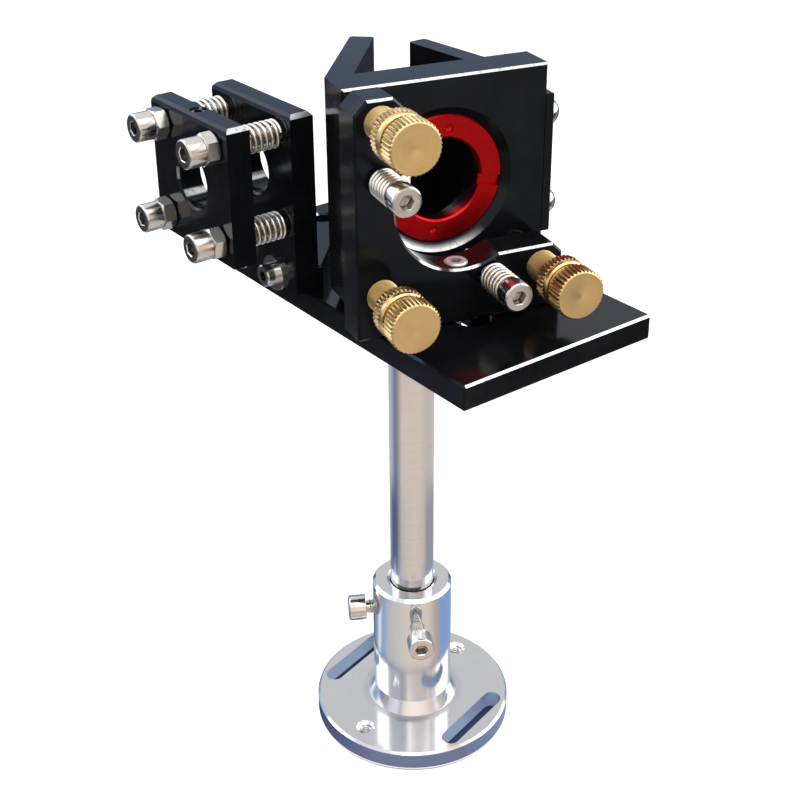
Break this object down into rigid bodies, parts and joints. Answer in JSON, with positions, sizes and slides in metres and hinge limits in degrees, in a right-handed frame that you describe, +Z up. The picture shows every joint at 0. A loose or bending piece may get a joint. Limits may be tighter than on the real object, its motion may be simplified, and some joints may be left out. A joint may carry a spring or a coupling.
{
  "type": "beam combiner mount",
  "caption": "Kinematic combiner block with fine-threaded thumbscrews beside a tilting pointer holder, on a plate, round post and slotted flange base",
  "frame": {"origin": "centre of the flange's underside, on the post's axis", "axes": "+Z up the post; +X across the base plate, away from the pointer holder; +Y along the base plate, away from the adjusting screws"},
  "size_m": [0.084, 0.106, 0.196],
  "materials": {
    "turned_aluminium": "bright turned",
    "black_anodised": "glossy black anodised",
    "red_anodised": "red anodised, satin",
    "brass": "turned and knurled",
    "bright_steel": "bright zinc or stainless",
    "spring_steel": "drawn wire"
  },
  "bodies": {
    "base": {"base_flange": "turned_aluminium"},
    "post": {"post": "turned_aluminium", "post_screw": "bright_steel"},
    "front_clamp": {"base_clamp_screw_front": "bright_steel"},
    "side_clamp": {"base_clamp_screw_side": "bright_steel"},
    "platform": {"base_plate": "black_anodised", "pointer_rear_plate": "black_anodised", "pointer_foot": "black_anodised", "foot_screws": "bright_steel", "rear_plate_screws": "bright_steel", "rear_plate_washers": "bright_steel"},
    "carriage": {"head_clamp_washer": "bright_steel", "head_clamp_nut": "bright_steel"},
    "head_clamp": {"head_clamp_screw": "bright_steel"},
    "head": {"adjuster_plate": "black_anodised", "top_pull_spring": "spring_steel", "side_pull_spring": "spring_steel"},
    "corner_ring": {"corner_lock_ring": "brass"},
    "corner_knob": {"corner_thumbscrew": "brass"},
    "top_ring": {"top_lock_ring": "brass"},
    "top_knob": {"top_thumbscrew": "brass", "top_ball": "bright_steel"},
    "side_ring": {"side_lock_ring": "brass"},
    "side_knob": {"side_thumbscrew": "brass", "side_ball": "bright_steel"},
    "corner_pivot": {"corner_ball": "bright_steel"},
    "block": {"combiner_block": "black_anodised", "side_plate": "black_anodised", "side_plate_screws": "bright_steel"},
    "top_pull": {"top_pull_screw": "bright_steel"},
    "side_pull": {"side_pull_screw": "bright_steel"},
    "ring": {"retaining_ring": "red_anodised"},
    "pointer_springs": {"pointer_springs": "spring_steel"},
    "pointer_plate": {"pointer_front_plate": "black_anodised"},
    "pointer_set": {"pointer_set_screw": "bright_steel"},
    "upper_left_nut": {"pointer_nut_upper_left": "bright_steel"},
    "upper_left_screw": {"pointer_screw_upper_left": "bright_steel"},
    "upper_right_nut": {"pointer_nut_upper_right": "bright_steel"},
    "upper_right_screw": {"pointer_screw_upper_right": "bright_steel"},
    "lower_left_nut": {"pointer_nut_lower_left": "bright_steel"},
    "lower_left_screw": {"pointer_screw_lower_left": "bright_steel"},
    "lower_right_nut": {"pointer_nut_lower_right": "bright_steel"},
    "lower_right_screw": {"pointer_screw_lower_right": "bright_steel"}
  },
  "joints": [
    {"name": "post_slide", "type": "slide", "parent": "base", "child": "post", "axis": [0, 0, 1], "range_m": [-0.008, 0.018]},
    {"name": "platform_turn", "type": "hinge", "parent": "post", "child": "platform", "pos_m": [0, 0, 0.1332], "axis": [0, 0, 1], "continuous": true},
    {"name": "front_clamp_turn", "type": "hinge", "parent": "base", "child": "front_clamp", "pos_m": [-0.00812, -0.01379, 0.036], "axis": [0.5075, 0.8616, 0], "range_deg": [-720, 0]},
    {"name": "side_clamp_turn", "type": "hinge", "parent": "base", "child": "side_clamp", "pos_m": [-0.01379, 0.00812, 0.036], "axis": [0.8616, -0.5075, 0], "range_deg": [-720, 0]},
    {"name": "head_slide", "type": "slide", "parent": "platform", "child": "carriage", "axis": [0, 1, 0], "range_m": [-0.005, 0.0015]},
    {"name": "head_swivel", "type": "hinge", "parent": "carriage", "child": "head", "pos_m": [-0.00758, -0.0267, 0.1395], "axis": [0, 0, 1], "range_deg": [-20, 2]},
    {"name": "head_clamp_turn", "type": "hinge", "parent": "carriage", "child": "head_clamp", "pos_m": [-0.00758, -0.0267, 0.145], "axis": [0, 0, -1], "range_deg": [-720, 0]},
    {"name": "corner_screw_travel", "type": "slide", "parent": "head", "child": "corner_ring", "axis": [0.2341, 0.9722, 0], "range_m": [-0.00025, 0.0005]},
    {"name": "corner_knob_turn", "type": "hinge", "parent": "corner_ring", "child": "corner_knob", "pos_m": [-0.02878, -0.02931, 0.15], "axis": [0.2341, 0.9722, 0], "range_deg": [-181, 361]},
    {"name": "top_screw_travel", "type": "slide", "parent": "head", "child": "top_ring", "axis": [0.2341, 0.9722, 0], "range_m": [-0.00102, 0.00102]},
    {"name": "top_knob_turn", "type": "hinge", "parent": "top_ring", "child": "top_knob", "pos_m": [-0.02878, -0.02931, 0.19], "axis": [0.2341, 0.9722, 0], "range_deg": [-720, 720]},
    {"name": "side_screw_travel", "type": "slide", "parent": "head", "child": "side_ring", "axis": [0.2341, 0.9722, 0], "range_m": [-0.00102, 0.00102]},
    {"name": "side_knob_turn", "type": "hinge", "parent": "side_ring", "child": "side_knob", "pos_m": [0.01011, -0.03867, 0.15], "axis": [0.2341, 0.9722, 0], "range_deg": [-720, 720]},
    {"name": "block_pitch", "type": "hinge", "parent": "corner_ring", "child": "corner_pivot", "pos_m": [-0.02554, -0.01588, 0.15], "axis": [-0.9722, 0.2341, 0], "range_deg": [-1.43, 1.43], "deforming": ["top_pull_spring"]},
    {"name": "block_yaw", "type": "hinge", "parent": "corner_pivot", "child": "block", "pos_m": [-0.02554, -0.01588, 0.15], "axis": [0, 0, 1], "range_deg": [-1.43, 1.43], "deforming": ["side_pull_spring"]},
    {"name": "top_pull_turn", "type": "hinge", "parent": "block", "child": "top_pull", "pos_m": [-0.02761, -0.02445, 0.177], "axis": [0.2341, 0.9722, 0], "range_deg": [-360, 360]},
    {"name": "side_pull_turn", "type": "hinge", "parent": "block", "child": "side_pull", "pos_m": [-0.00136, -0.03077, 0.15], "axis": [0.2341, 0.9722, 0], "range_deg": [-360, 360]},
    {"name": "ring_turn", "type": "hinge", "parent": "block", "child": "ring", "pos_m": [-0.00473, -0.01659, 0.16995], "axis": [0.2341, 0.9722, 0], "range_deg": [-360, 360]},
    {"name": "upper_left_travel", "type": "slide", "parent": "platform", "child": "upper_left_nut", "axis": [1, 0, 0], "range_m": [-0.00045, 0.00045]},
    {"name": "upper_left_turn", "type": "hinge", "parent": "upper_left_nut", "child": "upper_left_screw", "pos_m": [-0.05, 0.0338, 0.17915], "axis": [1, 0, 0], "range_deg": [-222, 222]},
    {"name": "upper_right_travel", "type": "slide", "parent": "platform", "child": "upper_right_nut", "axis": [1, 0, 0], "range_m": [-0.00045, 0.00045]},
    {"name": "upper_right_turn", "type": "hinge", "parent": "upper_right_nut", "child": "upper_right_screw", "pos_m": [-0.05, 0.0102, 0.17915], "axis": [1, 0, 0], "range_deg": [-222, 222]},
    {"name": "lower_left_travel", "type": "slide", "parent": "platform", "child": "lower_left_nut", "axis": [1, 0, 0], "range_m": [-0.00045, 0.00045]},
    {"name": "lower_left_turn", "type": "hinge", "parent": "lower_left_nut", "child": "lower_left_screw", "pos_m": [-0.05, 0.0338, 0.15635], "axis": [1, 0, 0], "range_deg": [-222, 222]},
    {"name": "lower_right_travel", "type": "slide", "parent": "platform", "child": "lower_right_nut", "axis": [1, 0, 0], "range_m": [-0.00045, 0.00045]},
    {"name": "lower_right_turn", "type": "hinge", "parent": "lower_right_nut", "child": "lower_right_screw", "pos_m": [-0.05, 0.0102, 0.15635], "axis": [1, 0, 0], "range_deg": [-222, 222]},
    {"name": "pointer_tilt_upper", "type": "hinge", "parent": "platform", "child": "pointer_springs", "pos_m": [-0.04475, 0.022, 0.16775], "axis": [0, 0.6948, -0.7192], "range_deg": [-1.49, 1.49], "deforming": ["pointer_springs"]},
    {"name": "pointer_tilt_lower", "type": "hinge", "parent": "pointer_springs", "child": "pointer_plate", "pos_m": [-0.04475, 0.022, 0.16775], "axis": [0, -0.6948, -0.7192], "range_deg": [-1.49, 1.49]},
    {"name": "pointer_set_turn", "type": "hinge", "parent": "pointer_plate", "child": "pointer_set", "pos_m": [-0.04475, 0.022, 0.18], "axis": [0, 0, -1], "range_deg": [-720, 0]}
  ],
  "couplings": [
    {"joint": "corner_knob_turn", "follows": "corner_screw_travel", "rad_per_m": 12566},
    {"joint": "top_knob_turn", "follows": "block_pitch", "ratio": 502.65},
    {"joint": "top_screw_travel", "follows": "block_pitch", "m_per_rad": 0.04},
    {"joint": "side_knob_turn", "follows": "block_yaw", "ratio": 502.65},
    {"joint": "side_screw_travel", "follows": "block_yaw", "m_per_rad": 0.04},
    {"joint": "upper_left_turn", "follows": "pointer_tilt_upper", "ratio": 147.27},
    {"joint": "upper_left_travel", "follows": "pointer_tilt_upper", "m_per_rad": 0.016407},
    {"joint": "upper_right_turn", "follows": "pointer_tilt_lower", "ratio": -147.27},
    {"joint": "upper_right_travel", "follows": "pointer_tilt_lower", "m_per_rad": -0.016407},
    {"joint": "lower_left_turn", "follows": "pointer_tilt_lower", "ratio": 147.27},
    {"joint": "lower_left_travel", "follows": "pointer_tilt_lower", "m_per_rad": 0.016407},
    {"joint": "lower_right_turn", "follows": "pointer_tilt_upper", "ratio": -147.27},
    {"joint": "lower_right_travel", "follows": "pointer_tilt_upper", "m_per_rad": -0.016407}
  ]
}
